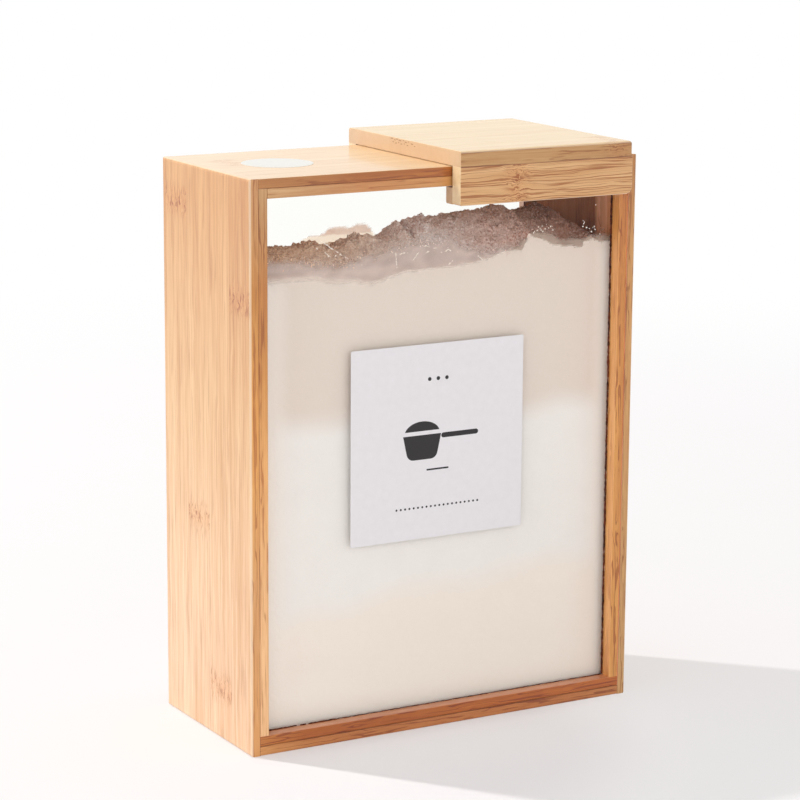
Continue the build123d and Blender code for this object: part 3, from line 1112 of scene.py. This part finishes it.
# %% Veil, grains and specks
VEIL_LINE = [
    (-110, 254), (-100, 255.5), (-82, 254.5), (-71, 253), (-62, 251.4), (-52, 252.5), (-46, 254.4),
    (-35, 255.5), (-26, 258), (-6, 260.5), (6, 259.5), (16, 256), (26, 253), (30, 252),
    (40, 253.4), (46, 254.4), (52, 257), (58, 261.6), (66, 260), (76, 256.5), (88, 255.5),
    (98, 257), (110, 256)]
THIN_LINE = [
    (-110, 263.6), (-100, 263.4), (-79, 263.2), (-62, 261.6), (-46, 264), (-38, 262.6), (-20, 262),
    (20, 256), (110, 256)]
FAR_RIDGE = [
    (-110, 248), (-44, 249), (-35.9, 252.8), (-33.9, 254), (-28.6, 253.6), (-25.7, 254.6),
    (-21.3, 257.4), (-14.3, 257.6), (-9, 257), (-4, 258.4), (0, 258.2), (3, 256.2), (5.6, 252.6),
    (8, 250), (110, 250)]
SPECKS = [
    (60.8, 263), (63, 263.3), (64.9, 261.7), (57.7, 260), (63.5, 260.4), (65.7, 264), (61.7, 262),
    (58.2, 260.6), (67.1, 262), (68.4, 262.7), (69.8, 260.7), (60, 261.2), (62.4, 261.2),
    (88.9, 264.4), (89.2, 262.8), (88.8, 261.3), (89.6, 263.6), (92.9, 259.9), (94.3, 258.2),
    (96.1, 260.8), (96.6, 259.2), (91.1, 260.6), (95.2, 260.3), (99.7, 256.5), (96.7, 272.4),
    (-45.9, 250.6), (-51.8, 259.7), (-61.2, 256.5), (-65.2, 256.6), (-72, 260.9)]
HIGHLIGHT_STROKES = [
    ((-71, 265.6), (-54, 254.1)), ((-67.4, 258.6), (-64.5, 256.3)),
    ((-26.1, 255.6), (-25.3, 247.7)), ((-23.9, 254.8), (-19.2, 254.9)),
    ((-15.7, 250.9), (-12.2, 254.7)), ((-9.2, 258), (-6, 257)), ((-9.3, 253.6), (-6.2, 254.5)),
    ((-3.4, 256.2), (-1.5, 256.1)), ((0.4, 253.6), (5.6, 254.6)), ((5.6, 254.6), (8.2, 253.5)),
    ((8.2, 249.1), (5.7, 246.7)), ((23.5, 249.9), (26.6, 247.8))]
VEIL_INSET = 0.32 * MM
VEIL_FILM = 0.06 * MM
GRAIN_INSET = 0.2 * MM
SPECK_INSET = 0.12 * MM
HIGHLIGHT_STROKE_STEP = 0.25


def clamped(value):
    return max(0.0, min(1.0, value))


def front_dust(x, z):
    """How thick the dust lies on the front window at x and z in millimetres, from 0 to 1, and
    how far it has faded towards its lower border."""
    softness = 1.0 + 2.6 * clamped((-10 - x) / 40)
    blur = 2.2 + 3.6 * clamped((22 - x) / 20)
    ragged = 2.2 * wobble(x / 5, z / 3, 0.0) + wobble(x / 1.6, z / 1.6, 7.0)
    above = (line_height(VEIL_LINE, x) + ragged - z) / blur + 0.11 * (blur - 2.2)
    below = (z - line_height(RIM_LINE, x) + 0.6 + softness + 0.4 * ragged) / softness
    patches = min(1.0, 0.9 + 0.4 * wobble(x / 9, z / 5, 2.0))
    thin = min(0.15, (line_height(THIN_LINE, x) - z) / 12)
    return max(0.0, thin, min(1.0, above)) * clamped(below) * patches, 1.0 - clamped(below)


def back_dust(x, z):
    """The same on the back window, where dust stands above the powder in one low ridge."""
    above = (line_height(FAR_RIDGE, x) + 0.4 * wobble(x / 2, z / 2, 3.0) - z) / 0.8
    return clamped(above) * clamped((z - line_height(BACK_LINE, x) + 2.0) / 0.8), 0.0


def fringe_share(x, z):
    """How many single grains lie on the front window: most along the veil's upper border."""
    far = z - line_height(VEIL_LINE, x)
    clumps = max(0.0, wobble(x / 6, z / 6, 5.0) + 0.25)
    return clumps * math.exp(-(far / (2.5 if far > 0 else 3.0)) ** 2)


def window_grid(side, inset, step, share):
    """A grid of points just inside a window, from below the rim to well above the heap."""
    xs, zs = np.arange(-109.5, 109.6, step), np.arange(238.0, 280.1, step)
    y = side * (half_breadth + POWDER_GAP - inset)
    places = [(x, z) for x in xs for z in zs]
    points = [(x * MM, y, z * MM) for x, z in places]
    return points, grid_faces(len(xs), len(zs)), [share(x, z) for x, z in places]


def veil_mesh(side, share):
    """A thin closed sheet: the cells of a grid that have dust on them, given a thickness."""
    points, cells, dust = window_grid(side, VEIL_INSET, 1.0, share)
    builder = bmesh.new()
    layers = [builder.verts.layers.float.new(name) for name in ("dust", "faded")]
    corners = {}
    for cell in cells:
        if max(dust[k][0] for k in cell) > 0:
            for k in cell:
                if k not in corners:
                    corners[k] = builder.verts.new(points[k])
                    for layer, value in zip(layers, dust[k]):
                        corners[k][layer] = value
            builder.faces.new([corners[k] for k in cell])
    thicken(builder, (0, -side * VEIL_FILM, 0))
    return built_mesh("veil", builder)


def veil_finish(name, pale, deep, low, let_through):
    """Dust that lies so thin that a share of the light that falls on its back comes through.

    Below the heights in low it is pale. It whitens where it fades downwards, which paints light to
    make up for the shade that it throws on the powder. It is warmer high up at the left, which
    paints the light that the board's colour throws on it, and duller at the right, which paints
    shade.
    """
    material, net, place = new_finish(name)
    fine, soft = place.cloud(0.6 * MM, 3.0), place.cloud(8 * MM, 3.0)
    place = place.split()
    height = place["Z"] + (soft - 0.5) * (2 * MM)
    pale_share = soft.at_least(height.ease(low[0] * MM, low[1] * MM))
    colour = blend(pale_share, tint(*deep), tint(*pale))
    colour = blend(net.attribute("faded").ease(0.0, 0.5), colour, tint(255, 241, 233))
    # Warmer high up at the left: painted light thrown by the board.
    warm = place["X"].ease(-30 * MM, -60 * MM) * height.ease(254 * MM, 260 * MM)
    colour = multiply(warm, colour, tint(250, 228, 206))
    # Duller at the right: painted shade.
    colour = multiply(place["X"].ease(38 * MM, 48 * MM), colour, tint(228, 223, 215))
    lit, glowing = [net.node("ShaderNodeBsdf" + kind, values={"Color": colour})
                    for kind in ("Diffuse", "Translucent")]
    sheet = net.node("ShaderNodeMixShader", values=[let_through, lit, glowing])
    cover = net.attribute("dust") * (0.72 + 0.28 * fine)
    clear = net.node("ShaderNodeBsdfTransparent")
    net.surface(net.node("ShaderNodeMixShader", values=[cover, clear, sheet]))
    return material


def grain_tree(name, material, on_surface):
    net, sizes = new_tree(name, ["Density", "Smallest", "Largest"])
    values = {"Segments": 4, "Rings": 2, "Radius": 1.0}
    stone = net.node("GeometryNodeMeshUVSphere", values=values)
    points = scattered(net, sizes) if on_surface else sizes["Geometry"]
    stretch = ((0.6, 0.16, 0.6), (1.4, 0.22, 1.4))
    end_tree(net, plant(net, points, stone, sizes, (0, FULL_TURN, 0), stretch), material)
    return net


front_veil = veil_finish("front_dust", (232, 213, 205), (214, 196, 190), (252, 247), 0.1)
back_veil = veil_finish("back_dust", (252, 244, 234), (224, 199, 188), (254.5, 252.5), 0.8)
veils = [("front", -1, front_dust, front_veil), ("back", 1, back_dust, back_veil)]
for name, side, share, finish in veils:
    veil = new_object(name + "_veil", veil_mesh(side, share))
    veil.data.materials.append(finish)
    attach(veil, "case")
points, faces, share = window_grid(-1, GRAIN_INSET, 1.5, fringe_share)
grow("window_grains", mesh_with("grain_bed", points, faces, share=share),
     grain_tree("window_grains", crumb_finish, True), "powder",
     Density=2.0 / MM ** 2, Smallest=0.12 * MM, Largest=0.45 * MM)

noise.seed_set(SEED)  # without it noise_vector would follow the clock
# Pale strokes that paint the highlit edges of folds in the heap.
highlight_stroke_points = []
for (x0, z0), (x1, z1) in HIGHLIGHT_STROKES:
    count = max(2, round(math.dist((x0, z0), (x1, z1)) / HIGHLIGHT_STROKE_STEP))
    for k in range(count + 1):
        x, z = x0 + (x1 - x0) * k / count, z0 + (z1 - z0) * k / count
        if wobble(x * 0.9, z * 0.9, 2.0) > -0.22:
            shift = noise.noise_vector(Vector((x / 1.6, z / 1.6, 0.0))) * 0.5
            highlight_stroke_points.append((x + shift.x, z + shift.y))
speck_y = -(half_breadth + POWDER_GAP - SPECK_INSET)
# A near-white finish for specks and strokes, which paints sparkle and highlights.
highlight_finish = speckled("bright_specks", 0.8 * MM, (246, 232, 220), (255, 250, 244), 0.6)
speck_net = grain_tree("bright_specks", highlight_finish, False)
for name, places, smallest, largest in (("specks", SPECKS * 2, 0.3, 0.6),
                                        ("highlight_strokes", highlight_stroke_points, 0.14, 0.5)):
    speck_mesh = mesh_with(name, [(x * MM, speck_y, z * MM) for x, z in places], [])
    grow("bright_" + name, speck_mesh, speck_net, "powder",
         Smallest=smallest * MM, Largest=largest * MM)

# %% [markdown]
# ## Painted shadow in the windows' corners
#
# Each window is held by strips that are glued in front of it. In the corner between strip and
# acrylic a dark, broken line of shadow shows, widest on the right, and it is painted as a dark
# bead. A line in a texture would stay flat, so the tree makes a bead. It gets a line of points
# along the four corners, drops points where noise is low, which breaks the bead, turns the rest
# into curves, shakes them a little and sweeps a six-sided ring along them.

# %% Painted gap shadow
GAP_SHADOW_STEP = 0.8
GAP_SHADOW_BREAKS = 0.38


def gap_shadow_lines():
    """Points, bead radius and hold along the corners of one window, in millimetres."""
    low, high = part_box("front_top_strip"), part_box("front_bottom_strip")
    right, ceiling, ground = low[1].x / MM, low[0].z / MM, high[1].z / MM
    heights = np.arange(ground + 0.4, ceiling - 0.3, GAP_SHADOW_STEP)
    widths = np.arange(1.0 - right, right - 1.4, GAP_SHADOW_STEP)
    return [[(right - 0.65, z, 0.5, 0.14) for z in heights],
            [(0.3 - right, z, 0.22, 0.0) for z in heights],
            [(x, ground + 0.3, *((0.32, 0.0) if x < -62 else (0.2, 0.3))) for x in widths],
            [(x, ceiling - 0.3, 0.2, 0.0) for x in widths]]


def gap_shadow_mesh(side):
    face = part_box("front_window")[0].y if side < 0 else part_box("back_window")[1].y
    points, edges, bead, hold = [], [], [], []
    for line in gap_shadow_lines():
        edges += [(len(points) + k, len(points) + k + 1) for k in range(len(line) - 1)]
        points += [(x * MM, face + side * 0.25 * MM, z * MM) for x, z, radius, firm in line]
        bead += [radius * MM for x, z, radius, firm in line]
        hold += [firm for x, z, radius, firm in line]
    return mesh_with("gap_shadow", points, [], edges, bead=bead, hold=hold)


def gap_shadow_tree(material):
    net, sizes = new_tree("gap_shadow", ["Breaks", "Shake"])
    place = net.node("GeometryNodeInputPosition")
    rough, fine = place.cloud(2.6 * MM), place.cloud(1.6 * MM)
    broken = (rough + net.attribute("hold")).maths("LESS_THAN", sizes["Breaks"])
    kept = net.node("GeometryNodeDeleteGeometry", {"domain": "POINT"}, {
        "Geometry": sizes["Geometry"], "Selection": broken})
    curve = net.node("GeometryNodeMeshToCurve", values=[kept])
    shaken = roughen(net, curve, 2 * MM, sizes["Shake"], (1.0, 0.1, 1.0))
    ring = net.node("GeometryNodeCurvePrimitiveCircle", {"mode": "RADIUS"}, {
        "Resolution": 6, "Radius": 1.0})
    thickness = net.attribute("bead") * (0.35 + 1.3 * fine)
    tube = net.node("GeometryNodeCurveToMesh", values={
        "Curve": shaken, "Profile Curve": ring, "Scale": thickness, "Fill Caps": True})
    end_tree(net, tube, material)
    return net


def gap_shadow_finish():
    material, net, place = new_finish("dark_glue")
    grain = place.cloud(3 * MM, 3.0)
    # The dark colour paints the shadow in the gap between strip and acrylic.
    colour = blend(grain.ease(0.35, 0.65), tint(58, 30, 24), tint(112, 58, 38))
    net.principled(Base_Color=colour, Roughness=0.6 + 0.3 * grain, Specular_IOR_Level=0.15)
    return material


gap_shadow_net = gap_shadow_tree(gap_shadow_finish())
for name, side in (("front", -1), ("back", 1)):
    grow(name + "_glue", gap_shadow_mesh(side), gap_shadow_net, "bamboo_strip",
         Breaks=GAP_SHADOW_BREAKS, Shake=0.6 * MM)
